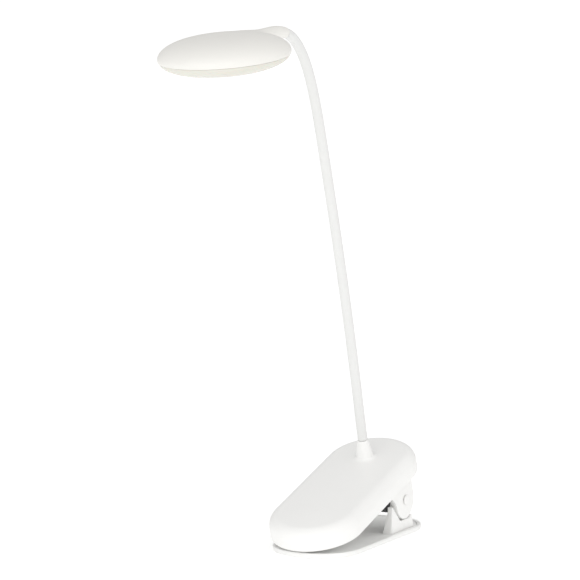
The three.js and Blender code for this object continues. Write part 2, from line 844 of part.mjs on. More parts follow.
const headScrewPlaces = Array.from({ length: 3 }, (_, i) => {
  const turn = (i / 3) * Math.PI * 2 + Math.PI / 2;
  return [headScrewRadius * Math.cos(turn), -headScrewRadius * Math.sin(turn)];
});
const ferruleFrom = neckLength + headFerruleAlong;
const ferruleTo = ferruleFrom + headFerruleLength;
const ledBoardLow = ledBoardTop - ledBoardThickness;

// The head is one lens outside: the lid runs past its widest level to the seam, the diffuser from there.
const lensUnderside = diffuserProfile(headRadius, diffuserDepth, 9);
const seamTurn = Math.asin(headSeamDrop / diffuserDepth);
const seamRadius = headRadius * Math.pow(Math.cos(seamTurn), diffuserPower);
const belowSeam = lensUnderside.filter(([, height]) => height < -headSeamDrop - 0.5);

function headShell() {
  const outer = headTopProfile(headRadius, headDomeHeight, 6);
  const inner = headTopProfile(seamRadius - headWall, headDomeHeight - headWall, 4);
  const dome = headFrame(turned([
    [0, -headSeamDrop], [seamRadius, -headSeamDrop], ...outer.slice(0, -1), [0, headDomeHeight],
  ], 36));
  const hollow = headFrame(turned([
    [0, -headSeamDrop - 1], [seamRadius - headWall, -headSeamDrop - 1],
    ...inner.slice(0, -1), [0, headDomeHeight - headWall],
  ], 24));
  const bosses = headScrewPlaces.map(([x, y]) => headFrame(
    upright(headBossRadius, ledBoardTop + clearance, headDomeHeight - headWall * 1.4, x, y, 10)));
  const pilots = headScrewPlaces.map(([x, y]) => headFrame(
    upright(screwBore, ledBoardLow, ledBoardLow + headScrewLength + 0.6, x, y, 8)));
  const reach = neckLength + tailLength - headRadius + tailInHead - 3;
  const coreHole = tube(new NeckPath(neckLength - 1, ferruleFrom), sleeveBoreRadius, 3, 10);
  const ferruleRoom = tube(
    new NeckPath(ferruleFrom - clearance, ferruleTo + clearance),
    headFerruleRadius + coreClearance,
    4,
    10,
  );
  const wireHole = tube(new NeckPath(ferruleTo, reach), wireHoleRadius, 3, 8);
  const diffuserRoom = headFrame(turned([
    [0, -diffuserDepth - clearance], ...[...belowSeam].reverse().map(([r, z]) => [r + clearance, z]),
    [seamRadius + clearance, -headSeamDrop], [0, -headSeamDrop],
  ], 28));
  const skin = join(dome, cut(tailBar(), diffuserRoom));
  return piece(
    'head_shell',
    cut(join(cut(skin, hollow), ...bosses), ...pilots, coreHole, ferruleRoom, wireHole),
    whitePlastic,
  );
}

function diffuser() {
  const seam = -headSeamDrop - clearance;
  const outer = belowSeam.slice(0, -1);
  const inner = diffuserProfile(seamRadius - diffuserWall, diffuserDepth - diffuserWall, 5);
  const profile = [
    [seamRadius - diffuserInset, seam],
    ...outer,
    [0, -diffuserDepth],
    [0, -diffuserDepth + diffuserWall],
    ...inner.filter(([, height]) => height < seam - 1).slice(0, -1).reverse(),
    [seamRadius - diffuserInset - diffuserWall, seam],
    [seamRadius - diffuserInset, seam],
  ];
  return piece('diffuser', headFrame(turned(profile, 36)), creamDiffuser);
}

function ledBoard() {
  const disc = upright(ledBoardRadius, ledBoardLow, ledBoardTop, 0, 0, 28);
  const holes = headScrewPlaces.map(([x, y]) =>
    upright(screwBore, ledBoardLow - 1, ledBoardTop + 1, x, y, 12));
  return piece('led_board', headFrame(cut(disc, ...holes)), boardWhite);
}

function led(index) {
  const turn = (index / ledCount) * Math.PI * 2;
  const chip = box(ledSize, ledSize, ledHeight, 0, 0, ledBoardLow - clearance - ledHeight / 2)
    .rotateZ(turn)
    .translate(ledCircleRadius * Math.cos(turn), ledCircleRadius * Math.sin(turn), 0);
  return piece(`led_${index + 1}`, headFrame(chip), ledYellow);
}

function headScrew(name, [x, y]) {
  const screw = panHeadScrew(screwHead, screwHeadHeight, screwShank, headScrewLength)
    .translate(x, y, ledBoardLow - clearance - screwHeadHeight);
  return piece(name, headFrame(screw), steel);
}

function headFerrule() {
  const outer = tube(new NeckPath(ferruleFrom, ferruleTo), headFerruleRadius, 4, 10);
  const bore = tube(new NeckPath(ferruleFrom - 1, ferruleTo + 1), sleeveBoreRadius, 5, 10);
  return piece('head_ferrule', cut(outer, bore), brass);
}

// ---- the lamp ----
const lamp = new THREE.Group();
lamp.add(
  lowerJaw(),
  lowerJawPad(),
  hingePin(),
  pinClip(),
  torsionSpring('torsion_spring_right', 1),
  torsionSpring('torsion_spring_left', -1),
  upperJawBodyPieces(),
);
for (let i = 0; i <= bendCount; i += 1) {
  lamp.add(neckSleeve(i), neckCore(i));
}
lamp.add(headShell(), diffuser(), ledBoard(), headFerrule());
for (let i = 0; i < ledCount; i += 1) {
  lamp.add(led(i));
}
headScrewPlaces.forEach((place, i) => lamp.add(headScrew(`head_screw_${i + 1}`, place)));

export default lamp;
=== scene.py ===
import json
import math

import bmesh
import bpy
import numpy as np
from mathutils import Matrix, Vector


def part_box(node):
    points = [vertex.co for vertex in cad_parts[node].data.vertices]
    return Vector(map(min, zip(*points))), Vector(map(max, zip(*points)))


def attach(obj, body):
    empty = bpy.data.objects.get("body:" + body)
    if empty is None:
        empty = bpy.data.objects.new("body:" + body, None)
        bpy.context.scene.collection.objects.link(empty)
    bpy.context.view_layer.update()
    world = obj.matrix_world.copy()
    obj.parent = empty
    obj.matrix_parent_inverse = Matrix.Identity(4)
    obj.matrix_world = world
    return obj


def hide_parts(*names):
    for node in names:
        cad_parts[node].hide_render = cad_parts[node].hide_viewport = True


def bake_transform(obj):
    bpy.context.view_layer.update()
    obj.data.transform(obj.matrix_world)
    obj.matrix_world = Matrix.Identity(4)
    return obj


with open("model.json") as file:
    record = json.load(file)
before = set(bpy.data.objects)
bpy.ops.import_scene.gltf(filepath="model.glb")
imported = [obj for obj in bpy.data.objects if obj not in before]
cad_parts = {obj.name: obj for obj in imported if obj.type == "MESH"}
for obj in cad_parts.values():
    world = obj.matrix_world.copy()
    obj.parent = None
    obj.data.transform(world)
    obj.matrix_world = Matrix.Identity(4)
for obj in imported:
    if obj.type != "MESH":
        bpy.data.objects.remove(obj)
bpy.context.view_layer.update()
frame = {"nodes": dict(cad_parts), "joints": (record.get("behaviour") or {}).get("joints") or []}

# Clip-on reading lamp: a white spring clip that holds the cell, a flexible neck and a round LED head.
# Metres, +Z up, standing on the clip's flat lower jaw, with the jaw tips and the head towards -Y.
mm = 0.001

# ---- camera ----
# A long lens about two metres off and a little above the lamp's middle, to the right of its nose, so that the
# clip's side shows.
aim = Vector((0, 0, 0.1748))
stand_off = 2.0409
stand_turn = math.radians(27.13)
stand_rise = math.radians(6.62)
look_turn = math.radians(28.31)
look_rise = math.radians(6.49)


def pointing(turn, rise):
    """A unit vector, turned from -Y towards +X and raised from the floor."""
    return Vector((math.sin(turn) * math.cos(rise), -math.cos(turn) * math.cos(rise), math.sin(rise)))


camera = bpy.data.objects.new("camera", bpy.data.cameras.new("camera"))
camera.data.sensor_width = 36
camera.data.lens = 178.06
camera.location = aim + stand_off * pointing(stand_turn, stand_rise)
camera.rotation_euler = pointing(look_turn, look_rise).to_track_quat("Z", "Y").to_euler()
bpy.context.scene.collection.objects.link(camera)
bpy.context.scene.camera = camera

# ---- studio ----
# A pale paper floor that runs out to the horizon, under a white surround that is brightest to the front right
# and falls off towards the back left, with one broad soft light in front.
bpy.context.scene.view_settings.view_transform = "Standard"
brightest_way = (0.66, -0.70, 0.2)
dimmest_strength = 0.50
brightest_strength = 1.12
surround = bpy.data.worlds.new("white_surround")
surround.use_nodes = True
surround_nodes = surround.node_tree.nodes
surround_links = surround.node_tree.links
backdrop = surround_nodes["Background"]
backdrop.inputs["Color"].default_value = (1, 1, 1, 1)
direction = surround_nodes.new("ShaderNodeTexCoord")
facing = surround_nodes.new("ShaderNodeVectorMath")
facing.operation = "DOT_PRODUCT"
facing.inputs[1].default_value = brightest_way
fading = surround_nodes.new("ShaderNodeMapRange")
map_limits = ("From Min", "From Max", "To Min", "To Max")
for socket, setting in zip(map_limits, (-0.9, 0.9, dimmest_strength, brightest_strength)):
    fading.inputs[socket].default_value = setting
surround_links.new(direction.outputs["Generated"], facing.inputs[0])
surround_links.new(facing.outputs["Value"], fading.inputs["Value"])
surround_links.new(fading.outputs["Result"], backdrop.inputs["Strength"])
bpy.context.scene.world = surround

floor_reach = 80.0
floor_mesh = bpy.data.meshes.new("floor")
floor_mesh.from_pydata(
    [(-floor_reach, -floor_reach, 0), (floor_reach, -floor_reach, 0),
     (floor_reach, floor_reach, 0), (-floor_reach, floor_reach, 0)],
    [], [(0, 1, 2, 3)])
floor = bpy.data.objects.new("floor", floor_mesh)
floor.location.z = -0.3 * mm
bpy.context.scene.collection.objects.link(floor)
paper = bpy.data.materials.new("pale_paper")
paper.use_nodes = True
paper_look = paper.node_tree.nodes["Principled BSDF"].inputs
paper_look["Base Color"].default_value = (0.93, 0.93, 0.925, 1)
paper_look["Roughness"].default_value = 0.9
paper_look["Emission Color"].default_value = (1, 1, 1, 1)
paper_look["Emission Strength"].default_value = 0.3
floor_mesh.materials.append(paper)

light_distance = 1.6
light_stand = pointing(math.radians(8), math.radians(14))
front_light = bpy.data.objects.new("front_light", bpy.data.lights.new("front_light", "AREA"))
front_light.data.size = 1.1
front_light.data.energy = 2.8
front_light.location = aim + light_distance * light_stand
front_light.rotation_euler = light_stand.to_track_quat("Z", "Y").to_euler()
bpy.context.scene.collection.objects.link(front_light)

# ---- lower jaw ----
# One white ABS injection moulding: a flat round-ended plate with a raised rim, two outer brackets that cradle
# the upper jaw's ears, and two inner cheeks bored for the hinge pin.
jaw_low, jaw_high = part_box("lower_jaw")
plate_length = jaw_high.y - jaw_low.y
plate_width = jaw_high.x - jaw_low.x
plate_corner = 30 * mm
plate_height = 3.6 * mm
plate_floor = 1.6 * mm
rim_width = 3 * mm
plate_edge = 0.7 * mm
clearance = 0.3 * mm
hinge = Vector(next(j for j in frame["joints"] if j["name"] == "clip_hinge")["pos_m"])
hinge_y = hinge.y
hinge_z = hinge.z
ear_radius = 13.7 * mm
ear_thickness = 4 * mm
ear_set_in = 4.2 * mm
ear_outer = (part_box("upper_shell")[1].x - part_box("upper_shell")[0].x) / 2 - ear_set_in
ear_inner = ear_outer - ear_thickness
cradle_radius = ear_radius + 0.7 * mm
cradle_slope = math.pi / 4 * 0.97
bracket_outer = plate_width / 2 - rim_width - 0.8 * mm
bracket_inner = bracket_outer - 3.6 * mm
bracket_front = hinge_y - 19.8 * mm
bracket_back = hinge_y + 17.2 * mm
bracket_edge = 0.5 * mm
gusset_depth = 7 * mm
gusset_top = 19 * mm
foot_inner = bracket_inner - 4.4 * mm
cheek_outer = ear_inner - 0.4 * mm
cheek_inner = cheek_outer - 3.6 * mm
cheek_radius = 8.5 * mm
inner_edge = 0.4 * mm
root_z = plate_floor - 0.5 * mm
pin_radius = 2.5 * mm
side_view = Matrix(((0, 0, 1, 0), (1, 0, 0, 0), (0, 1, 0, 0), (0, 0, 0, 1)))
front_view = Matrix(((1, 0, 0, 0), (0, 0, -1, 0), (0, 1, 0, 0), (0, 0, 0, 1)))


class Finish:
    """A material whose base colour and roughness drift a little over the surface, with a fine raised grain
    and, where asked, paler worn edges. Any other shader socket is set by its own name."""

    def __init__(self, name, colour, roughness, drift=0.03, drift_size=25 * mm, grain=0.02 * mm,
                 grain_size=0.6 * mm, stretch=(1, 1, 1), worn_edge=0.0, **sockets):
        self.material = bpy.data.materials.new(name)
        self.material.use_nodes = True
        self.tree = self.material.node_tree
        self.shader = self.tree.nodes["Principled BSDF"]
        for socket, value in sockets.items():
            self.shader.inputs[socket.replace("_", " ")].default_value = value
        places = self.node("ShaderNodeTexCoord")
        stretched = self.node("ShaderNodeMapping")
        stretched.inputs["Scale"].default_value = stretch
        self.link(places.outputs["Object"], stretched.inputs["Vector"])
        self.where = stretched.outputs["Vector"]
        self.cloud = self.noise(1 / drift_size, 3)
        self.speck = self.noise(1 / grain_size, 2)
        dark = [c * (1 - drift) for c in colour]
        light = [min(1, c * (1 + drift)) for c in colour]
        self.colour = self.mixed(self.cloud, dark, light)
        if worn_edge:
            edges = self.node("ShaderNodeNewGeometry")
            convex, sharp = 0.54, 0.62
            worn = self.ramp(edges.outputs["Pointiness"], convex, sharp, 0, worn_edge)
            rubbed = [min(1, c * 1.5 + 0.05) for c in colour]
            self.colour = self.mixed(worn, self.colour, rubbed)
        self.link(self.colour, self.shader.inputs["Base Color"])
        spread = 0.12
        rough = self.ramp(self.speck, 0.3, 0.7, roughness * (1 - spread), roughness * (1 + spread))
        self.link(rough, self.shader.inputs["Roughness"])
        self.bump = self.node("ShaderNodeBump")
        self.bump.inputs["Distance"].default_value = grain
        self.link(self.speck, self.bump.inputs["Height"])
        self.link(self.bump.outputs["Normal"], self.shader.inputs["Normal"])

    def node(self, kind):
        return self.tree.nodes.new(kind)

    def link(self, source, target):
        self.tree.links.new(source, target)

    def noise(self, scale, detail):
        texture = self.node("ShaderNodeTexNoise")
        texture.inputs["Scale"].default_value = scale
        texture.inputs["Detail"].default_value = detail
        self.link(self.where, texture.inputs["Vector"])
        return texture.outputs["Fac"]

    def ramp(self, value, low, high, at_low, at_high):
        """Maps the part of a value between two limits on to the range between two others."""
        node = self.node("ShaderNodeMapRange")
        for socket, setting in zip(map_limits, (low, high, at_low, at_high)):
            node.inputs[socket].default_value = setting
        self.link(value, node.inputs["Value"])
        return node.outputs["Result"]

    def mixed(self, share, first, second):
        """Two colours, each a list or another node's output, mixed by a share."""
        node = self.node("ShaderNodeMix")
        node.data_type = "RGBA"
        self.link(share, node.inputs["Factor"])
        for socket, value in zip(("A", "B"), (first, second)):
            entry = next(i for i in node.inputs if i.name == socket and i.type == "RGBA")
            if isinstance(value, list):
                entry.default_value = (*value, 1)
            else:
                self.link(value, entry)
        return next(o for o in node.outputs if o.type == "RGBA")

    def lift(self, height, distance):
        """Another layer of relief over the grain."""
        relief = self.node("ShaderNodeBump")
        relief.inputs["Distance"].default_value = distance
        self.link(height, relief.inputs["Height"])
        self.link(self.bump.outputs["Normal"], relief.inputs["Normal"])
        self.link(relief.outputs["Normal"], self.shader.inputs["Normal"])
        self.bump = relief


white_abs = Finish("white_abs", (0.875, 0.872, 0.857), 0.42, drift=0.012, grain=0.012 * mm,
                   grain_size=0.35 * mm, IOR=1.5)


def made(name, points, faces):
    mesh = bpy.data.meshes.new(name)
    mesh.from_pydata([tuple(p) for p in points], [], faces)
    mesh.validate()
    thing = bpy.data.objects.new(name, mesh)
    bpy.context.scene.collection.objects.link(thing)
    return thing


def settled(thing):
    """Makes the modifiers part of the mesh."""
    bpy.context.view_layer.update()
    now = thing.evaluated_get(bpy.context.evaluated_depsgraph_get())
    thing.data = bpy.data.meshes.new_from_object(now)
    thing.modifiers.clear()
    return thing


def outward(thing):
    """Merges points that meet and turns every face outwards."""
    shape = bmesh.new()
    shape.from_mesh(thing.data)
    bmesh.ops.remove_doubles(shape, verts=shape.verts, dist=0.002 * mm)
    bmesh.ops.recalc_face_normals(shape, faces=shape.faces)
    if shape.calc_volume(signed=True) < 0:
        bmesh.ops.reverse_faces(shape, faces=shape.faces)
    shape.to_mesh(thing.data)
    shape.free()
    return thing


def softened(thing, radius, steps=3, above=32):
    """Rounds every edge sharper than an angle."""
    bevel = thing.modifiers.new("edge", "BEVEL")
    bevel.width = radius
    bevel.segments = steps
    bevel.limit_method = "ANGLE"
    bevel.angle_limit = math.radians(above)
    bevel.harden_normals = False
    return settled(thing)


def combined(thing, others, how):
    """Adds other solids to a piece or cuts them from it, one after another, and uses them up."""
    for other in others:
        step = thing.modifiers.new("step", "BOOLEAN")
        step.operation = how
        step.solver = "EXACT"
        step.object = other
        settled(thing)
        bpy.data.objects.remove(other)
    return thing


def joined(thing, *others):
    return combined(thing, others, "UNION")


def carved(thing, *tools):
    return combined(thing, tools, "DIFFERENCE")


def dressed(thing, finish, body=None, stands_for=(), crease=35):
    """Gives a piece its shading and its finish in one slot, hangs it on the body it rides on and hides the
    nodes it stands for.
    """
    thing.data.materials.clear()
    thing.data.materials.append(finish.material)
    thing.data.shade_smooth()
    thing.data.set_sharp_from_angle(angle=math.radians(crease))
    if body:
        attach(thing, body)
    if stands_for:
        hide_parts(*stands_for)
    return thing


def prism(name, outline, low, high, place=Matrix.Identity(4)):
    """A flat outline drawn in x and y, raised from one height to another, then put in place."""
    count = len(outline)
    points = [place @ Vector((x, y, z)) for z in (low, high) for x, y in outline]
    sides = [(i, (i + 1) % count, (i + 1) % count + count, i + count) for i in range(count)]
    caps = [tuple(reversed(range(count))), tuple(range(count, 2 * count))]
    return outward(made(name, points, sides + caps))


def arc(x, y, radius, start, end, steps):
    """Points along part of a circle, both ends included."""
    turns = [start + (end - start) * i / steps for i in range(steps + 1)]
    return [(x + radius * math.cos(t), y + radius * math.sin(t)) for t in turns]


def rounded_outline(length, width, corner, steps=14):
    """A rectangle about the origin with rounded corners, its length along y."""
    x = width / 2 - corner
    y = length / 2 - corner
    quarter = math.pi / 2
    corners = ((x, y), (-x, y), (-x, -y), (x, -y))
    points = [p for i, (cx, cy) in enumerate(corners)
              for p in arc(cx, cy, corner, i * quarter, (i + 1) * quarter, steps)]
    return [p for i, p in enumerate(points) if math.dist(p, points[i - 1]) > 0.01 * mm]


def rod(name, radius, start, end, place=Matrix.Identity(4), sides=40):
    """A round bar from one x to another, its middle on the place's own x axis."""
    return prism(name, arc(0, 0, radius, 0, 2 * math.pi, sides)[:-1], start, end, place @ side_view)


def span(side, near, far):
    """The lower and upper x of something that lies between two distances from the middle, on one side."""
    return sorted((side * near, side * far))


def bracket_outline():
    """From the side: a sloping bed that the ear turns over, with a horn in front and a low heel behind."""
    along_y = math.cos(cradle_slope)
    along_z = -math.sin(cradle_slope)
    bed_y = hinge_y + cradle_radius * along_z
    bed_z = hinge_z - cradle_radius * along_y
    horn_reach = (bed_y - bracket_front - 1.6 * mm) / along_y
    ledge_z = hinge_z - ear_radius - 0.9 * mm
    ledge_reach = (bed_z - ledge_z) / -along_z
    heel_z = ledge_z + 2 * mm
    return [
        (bracket_front, root_z),
        (bracket_back, root_z),
        (bracket_back - 4.5 * mm, heel_z),
        (bracket_back - 6 * mm, heel_z),
        (bracket_back - 7.5 * mm, ledge_z),
        (bed_y + ledge_reach * along_y, ledge_z),
        (bed_y - horn_reach * along_y, bed_z - horn_reach * along_z),
        (bracket_front, bed_z - horn_reach * along_z),
    ]


cheek_outline = [(hinge_y - 13.5 * mm, root_z), (hinge_y + 14 * mm, root_z),
                 *arc(hinge_y, hinge_z, cheek_radius, 0, math.pi, 20)]
gusset_outer = bracket_outer - 1 * mm
gusset_outline = [(foot_inner, root_z), (gusset_outer, root_z), (gusset_outer, gusset_top),
                  (bracket_inner, gusset_top)]
hinge_place = Matrix.Translation((0, hinge_y, hinge_z))

lower_jaw = prism("lower_jaw_moulding", rounded_outline(plate_length, plate_width, plate_corner),
                  0, plate_height)
well_outline = rounded_outline(plate_length - 2 * rim_width, plate_width - 2 * rim_width,
                               plate_corner - rim_width)
carved(lower_jaw, prism("well", well_outline, plate_floor, plate_height + 1 * mm))
softened(lower_jaw, plate_edge)
for side in (-1, 1):
    bracket = prism("bracket", bracket_outline(), *span(side, bracket_inner, bracket_outer), side_view)
    cheek = prism("cheek", cheek_outline, *span(side, cheek_inner, cheek_outer), side_view)
    joined(lower_jaw, softened(bracket, bracket_edge, 2), softened(cheek, inner_edge, 2))
    # A wedge widens the bracket's front edge towards its foot.
    gusset = prism("gusset", [(side * x, z) for x, z in gusset_outline],
                   -bracket_front - gusset_depth, -bracket_front, front_view)
    joined(lower_jaw, softened(gusset, inner_edge, 2))
    room = span(side, cheek_outer + 0.01 * mm, bracket_outer + 1 * mm)
    carved(lower_jaw, rod("ear_room", cradle_radius - 0.1 * mm, *room, hinge_place, 72))
bore_end = bracket_outer + 1 * mm
carved(lower_jaw, rod("pin_bore", pin_radius + clearance, -bore_end, bore_end, hinge_place))
dressed(lower_jaw, white_abs, "lower_jaw", ["lower_jaw"])

# ---- lower jaw pad ----
# A light grey soft mat that lies in the tray, with its edge rounded over and a notch round each bracket.
grey_tpe = Finish("grey_pad", (0.85, 0.85, 0.835), 0.8, drift=0.03, drift_size=12 * mm, grain=0.06 * mm,
                  grain_size=0.5 * mm, Sheen_Weight=0.15)
pad_inset = rim_width + clearance
pad_low = plate_floor + clearance
pad_thickness = 1.2 * mm
pad_outline = rounded_outline(plate_length - 2 * pad_inset, plate_width - 2 * pad_inset,
                              plate_corner - pad_inset)
lower_pad = prism("lower_pad_mat", pad_outline, pad_low, pad_low + pad_thickness)
notch_length = bracket_back - bracket_front + 2 * clearance
notch_outer = bracket_outer + 6 * mm
notch_inner = foot_inner - clearance
for side in (-1, 1):
    notch = rounded_outline(notch_length, notch_outer - notch_inner, 0.8 * mm, 4)
    spot = Matrix.Translation((side * (notch_outer + notch_inner) / 2, (bracket_front + bracket_back) / 2, 0))
    carved(lower_pad, prism("notch", notch, pad_low - 1 * mm, pad_low + 6 * mm, spot))
softened(lower_pad, 0.35 * mm, 3)
dressed(lower_pad, grey_tpe, "lower_jaw", ["lower_jaw_pad"])

# ---- hinge pin and its clip ----
# A white moulded pin through both ears and both cheeks. It is headed at one end, and a spring-steel washer
# pushed over the other end holds it.
spring_steel = Finish("spring_steel", (0.2, 0.2, 0.205), 0.36, drift=0.12, drift_size=3 * mm, grain=0.02 * mm,
                      grain_size=0.25 * mm, worn_edge=0.4, Metallic=1.0)
pin_end = ear_outer + clearance
pin_head_radius = 3.6 * mm
pin_head = 1 * mm
pin_stub = 0.4 * mm
pin = rod("hinge_pin_moulding", pin_radius, -pin_end - pin_head - pin_stub, pin_end + 0.2 * mm,
          hinge_place, 48)
joined(pin, rod("head", pin_head_radius, pin_end, pin_end + pin_head, hinge_place, 48))
softened(pin, 0.3 * mm, 3)
dressed(pin, white_abs, "lower_jaw", ["hinge_pin"])
washer = rod("pin_push_washer", pin_head_radius, -pin_end - pin_head, -pin_end, hinge_place, 48)
carved(washer, rod("hole", pin_radius + clearance, -pin_end - 2 * mm, -pin_end + 1 * mm, hinge_place, 48))
softened(washer, 0.18 * mm, 2)
dressed(washer, spring_steel, "lower_jaw", ["pin_clip"])

# ---- torsion springs ----
# Two wound springs of dark oiled wire, one a mirror of the other, on the pin between the cheeks. The lower
# leg presses on the pad and the upper leg on the jaw above, so the coil twists as the clip opens.
wire_radius = 1 * mm
spring_radius = 9.4 * mm
spring_pitch = 2.3 * mm
spring_turns = 4
first_angle = math.radians(120)
foot_reach = 25.8 * mm
foot_drop = hinge_z - pad_low - pad_thickness - wire_radius - clearance
foot_distance = math.hypot(foot_reach, foot_drop)
last_angle = (2 * math.pi * (spring_turns + 1) - math.atan2(foot_drop, foot_reach)
              - math.acos(spring_radius / foot_distance))
coil_turns = (last_angle - first_angle) / (2 * math.pi)
coil_end = cheek_inner - clearance - wire_radius - 0.9 * mm
coil_start = coil_end - spring_pitch * coil_turns
coil_steps = 150
leg_steps = 8
jaw_tilt = math.radians(17.6)
shell_length = plate_length + 2.7 * mm
hinge_along = shell_length - 42.6 * mm
hinge_drop = 14.05 * mm
nose_y = hinge_y - hinge_along * math.cos(jaw_tilt) - hinge_drop * math.sin(jaw_tilt)
nose_z = hinge_z - hinge_along * math.sin(jaw_tilt) + hinge_drop * math.cos(jaw_tilt)


def ring_faces(rows, count, around=False):
    """The faces between each ring of points and the next, and from the last back to the first if asked."""
    return [(i * count + k, i * count + (k + 1) % count,
             (i + 1) % rows * count + (k + 1) % count, (i + 1) % rows * count + k)
            for i in range(rows if around else rows - 1) for k in range(count)]


def tube(name, middles, radius, sides):
    """A round bar through a list of points, its rings turned as little as possible from one to the next."""
    middles = [Vector(p) for p in middles]
    radii = radius if isinstance(radius, list) else [radius] * len(middles)
    rows = len(middles)
    points = []
    across = None
    for i, middle in enumerate(middles):
        ahead = (middles[min(i + 1, rows - 1)] - middles[max(i - 1, 0)]).normalized()
        across = ahead.orthogonal() if across is None else across - ahead * across.dot(ahead)
        across.normalize()
        up = ahead.cross(across)
        for k in range(sides):
            turn = 2 * math.pi * k / sides
            points.append(middle + radii[i] * (across * math.cos(turn) + up * math.sin(turn)))
    ends = [tuple(reversed(range(sides))), tuple(range((rows - 1) * sides, rows * sides))]
    return outward(made(name, points, ring_faces(rows, sides) + ends))


def spring_points(side):
    """The wire's middle line: down the upper leg, round the coil and out along the lower leg."""
    def on_coil(angle):
        return hinge_y + spring_radius * math.cos(angle), hinge_z + spring_radius * math.sin(angle)

    top_y, top_z = on_coil(first_angle)
    wire_room = wire_radius + clearance
    jaw_above = nose_z + (top_y - nose_y) * math.tan(jaw_tilt)
    up_slope = math.tan(first_angle - math.pi / 2)
    reach = (jaw_above - wire_room / math.cos(jaw_tilt) - top_z) / (up_slope - math.tan(jaw_tilt))
    just_short = 0.98
    upper_leg = reach * just_short / math.cos(first_angle - math.pi / 2)
    low_y, low_z = on_coil(last_angle)
    lower_leg = math.sqrt(foot_distance ** 2 - spring_radius ** 2)
    points = []
    for i in range(leg_steps + 1):
        back = upper_leg * (1 - i / leg_steps)
        points.append((side * coil_start, top_y + back * math.sin(first_angle),
                       top_z - back * math.cos(first_angle)))
    for i in range(1, coil_steps + 1):
        angle = first_angle + (last_angle - first_angle) * i / coil_steps
        y, z = on_coil(angle)
        points.append((side * (coil_start + spring_pitch * (angle - first_angle) / (2 * math.pi)), y, z))
    x = points[-1][0]
    for i in range(1, leg_steps + 1):
        on = lower_leg * i / leg_steps
        points.append((x, low_y - on * math.sin(last_angle), low_z + on * math.cos(last_angle)))
    return points


for name, side in (("right", 1), ("left", -1)):
    spring = tube(f"torsion_spring_{name}_wire", spring_points(side), wire_radius, 14)
    softened(spring, 0.25 * mm, 2, 60)
    dressed(spring, spring_steel, stands_for=[f"torsion_spring_{name}"])
    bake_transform(spring)

# ---- upper shell ----
# The white ABS pebble that houses the cell, moulded in one: round-ended and softly crowned, with a rolled
# lower edge, a cone that sweeps up out of the top to hold the neck, four screw bosses inside and a charging
# slot at the rear.
shell_width = 2 * (ear_outer + ear_set_in)
shell_height = 16.4 * mm
shell_edge = 8.5 * mm
shell_wall = 2.2 * mm
shell_lip = 0.6 * mm
crown = 0.8 * mm
collar_along = shell_length - 39.4 * mm
collar_degrees = 16.5
collar_lean = math.radians(collar_degrees)
collar_height = 13.7 * mm
collar_mouth = 3.9 * mm
collar_base = 6.3 * mm
sleeve_bore = 2.4 * mm
ferrule_bore_radius = 3.5 * mm
boss_radius = 3 * mm
pilot_radius = 1.3 * mm
pilot_top = 8.6 * mm
slot_height = 7.3 * mm
slot_depth = 7.3 * mm
jaw_place = Matrix.Translation((0, nose_y, nose_z)) @ Matrix.Rotation(jaw_tilt, 4, "X")
collar_place = jaw_place @ Matrix.Translation((0, collar_along, shell_height)) @ Matrix.Rotation(
    collar_lean - jaw_tilt, 4, "X")
end_steps = 40
side_steps = 44
roll_power = 2.2


def stadium_ring(length, width, inset, height):
    """A ring of points round a round-ended outline drawn in by an inset, in the jaw's own frame."""
    radius = width / 2
    drawn = max(radius - inset, 0)
    near = radius
    far = length - radius
    ring = [(drawn * math.cos(t), far + drawn * math.sin(t), height)
            for t in (math.pi * i / end_steps for i in range(end_steps))]
    ring += [(-drawn, far + (near - far) * i / side_steps, height) for i in range(side_steps)]
    ring += [(drawn * math.cos(t), near + drawn * math.sin(t), height)
             for t in (math.pi * (1 + i / end_steps) for i in range(end_steps))]
    ring += [(drawn, near + (far - near) * i / side_steps, height) for i in range(side_steps)]
    return ring


def top_height(inset, edge, height, rise):
    """The top's height at an inset from the outline: a rolled edge, then a slow crown."""
    rolled = min(inset / edge, 1)
    shoulder = (height - rise) - edge + edge * math.sqrt(max(0, 1 - (1 - rolled) ** roll_power))
    beyond = max(0, inset - edge) / (shell_width / 2 - edge)
    return shoulder + rise * math.sin(beyond * math.pi / 2)


def pebble_rings(width, height, edge, lip, rise):
    """The inset and height of each ring of a pebble, from its lower edge to the middle of its top."""
    rings = [(0, 0)]
    if lip:
        turns = [math.pi / 2 * i / 4 for i in range(5)]
        rings = [(lip * (1 - math.sin(t)), lip * (1 - math.cos(t))) for t in turns]
    wall_top = height - rise - edge
    rings += [(0, lip + (wall_top - lip) * i / 4) for i in range(1, 4)]
    edge_steps = 14
    insets = [edge * (1 - math.cos(math.pi / 2 * i / edge_steps)) for i in range(edge_steps + 1)]
    crown_steps = 12
    insets += [edge + (width / 2 - edge) * i / crown_steps for i in range(1, crown_steps + 1)]
    return rings + [(inset, top_height(inset, edge, height, rise)) for inset in insets]


def lofted(name, rings, place):
    """Joins a stack of equal rings into one skin; each end ring is drawn in to a line and so closes."""
    points = [place @ Vector(p) for ring in rings for p in ring]
    return outward(made(name, points, ring_faces(len(rings), len(rings[0]))))


outer_rings = [stadium_ring(shell_length, shell_width, inset, height) for inset, height in
               pebble_rings(shell_width, shell_height, shell_edge, shell_lip, crown)]
inner_length = shell_length - 2 * shell_wall
inner_width = shell_width - 2 * shell_wall
inner_rings = [[(x, y + shell_wall, z) for x, y, z in stadium_ring(inner_length, inner_width, inset, height)]
               for inset, height in
               pebble_rings(inner_width, shell_height - shell_wall, shell_edge - shell_wall, 0, crown)]
upper_shell = lofted("upper_shell_moulding", [*reversed(inner_rings), *outer_rings], jaw_place)


def shell_top(x, y):
    """The height of the shell's top over a point, in the jaw's own frame."""
    radius = shell_width / 2
    beyond = max(radius - y, y - (shell_length - radius), 0)
    return top_height(radius - math.hypot(x, beyond), shell_edge, shell_height, crown)


